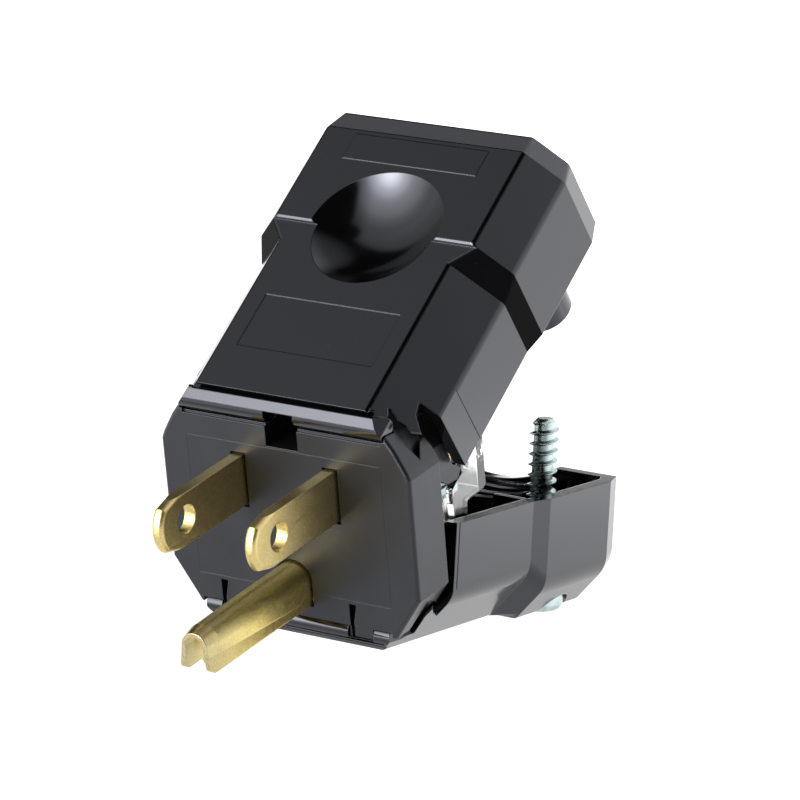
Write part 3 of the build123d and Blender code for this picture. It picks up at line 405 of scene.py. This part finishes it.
def lobe(direction, a0, a1):
    """1 inside a cone of a1 degrees round a direction, falling to 0 at a0 degrees."""
    d = wn.nodes.new("ShaderNodeVectorMath")
    d.operation = "DOT_PRODUCT"
    wn.links.new(tc.outputs["Generated"], d.inputs[0])
    d.inputs[1].default_value = Vector(direction).normalized()
    m = wn.nodes.new("ShaderNodeMapRange")
    m.interpolation_type = "SMOOTHSTEP"
    m.inputs["From Min"].default_value = math.cos(math.radians(a0))
    m.inputs["From Max"].default_value = math.cos(math.radians(a1))
    wn.links.new(d.outputs["Value"], m.inputs["Value"])
    return m.outputs["Result"]


def wmath(op, a, b):
    n = wn.nodes.new("ShaderNodeMath")
    n.operation = op
    for i, v in enumerate((a, b)):
        if isinstance(v, (int, float)):
            n.inputs[i].default_value = v
        else:
            wn.links.new(v, n.inputs[i])
    return n.outputs[0]


def side(direction, d0, d1):
    """0 to 1 across a plane through the centre, from d0 to d1 degrees past it."""
    d = wn.nodes.new("ShaderNodeVectorMath")
    d.operation = "DOT_PRODUCT"
    wn.links.new(tc.outputs["Generated"], d.inputs[0])
    d.inputs[1].default_value = Vector(direction).normalized()
    m = wn.nodes.new("ShaderNodeMapRange")
    m.interpolation_type = "SMOOTHSTEP"
    m.inputs["From Min"].default_value = math.sin(math.radians(d0))
    m.inputs["From Max"].default_value = math.sin(math.radians(d1))
    wn.links.new(d.outputs["Value"], m.inputs["Value"])
    return m.outputs["Result"]


# brightness of the softbox against the angle from its middle, in degrees
FALL = ((0, 21.0), (6, 20.5), (12, 14.5), (17, 9.0), (21, 7.6), (26, 4.8), (31, 3.8), (40, 2.7), (46, 1.7), (54, 1.05),
        (62, 0.95), (71, 0.62), (80, 0.45), (95, 0.02), (180, 0.0))
dot = wn.nodes.new("ShaderNodeVectorMath")
dot.operation = "DOT_PRODUCT"
wn.links.new(tc.outputs["Generated"], dot.inputs[0])
dot.inputs[1].default_value = aim(-17, 20)
angle = wmath("DIVIDE", wmath("ARCCOSINE", wmath("MINIMUM", dot.outputs["Value"], 0.999999), 0.0), math.pi)
fall = wn.nodes.new("ShaderNodeValToRGB")
while len(fall.color_ramp.elements) < len(FALL):
    fall.color_ramp.elements.new(0.5)
for e, (d, v) in zip(fall.color_ramp.elements, FALL):
    e.position, e.color = d / 180.0, (v / 21.0, v / 21.0, v / 21.0, 1)
wn.links.new(angle, fall.inputs["Fac"])
key = wmath("MULTIPLY", fall.outputs["Color"], 21.0)
# its right-hand edge, sharp at the last
edge = aim(15 - 90, 0)
key = wmath("MULTIPLY", key, side(edge, -2.5, 2.0))
key = wmath("MULTIPLY", key, wmath("ADD", 0.45, wmath("MULTIPLY", side(edge, -2.0, 17.0), 0.55)))
# and its back edge
key = wmath("MULTIPLY", key, side(aim(-22, 0), -3.0, 4.0))
level = wmath("ADD", key, wmath("MULTIPLY", lobe(aim(149, 10), 60, 25), 1.7))
level = wmath("ADD", level, wmath("MULTIPLY", lobe(aim(170, 55), 30, 12), 0.4))
level = wmath("MULTIPLY", level, wmath("SUBTRACT", 1.0, lobe(aim(20, 87), 12, 7)))
wn.links.new(level, bg.inputs["Strength"])
bg.inputs["Color"].default_value = (0.98, 0.99, 1.0, 1)

# ---------------------------------------------------------------- camera
cam = bpy.data.cameras.new("camera")
cam.sensor_width = 36.0
cam.lens = 204.9
cam.clip_start = 0.01
co = bpy.data.objects.new("camera", cam)
cx, cy, cz = Vector((0.8436, 0.5318, -0.0745)), Vector((-0.1432, 0.3564, 0.9233)), Vector((0.5175, -0.7682, 0.3768))
rot = Matrix((cx, cy, cz)).transposed().to_4x4()
co.matrix_world = Matrix.Translation((0.2812, -0.3924, 0.2060)) @ rot
bpy.context.scene.collection.objects.link(co)
bpy.context.scene.camera = co
bpy.context.scene.view_settings.view_transform = "Standard"

bpy.context.view_layer.update()
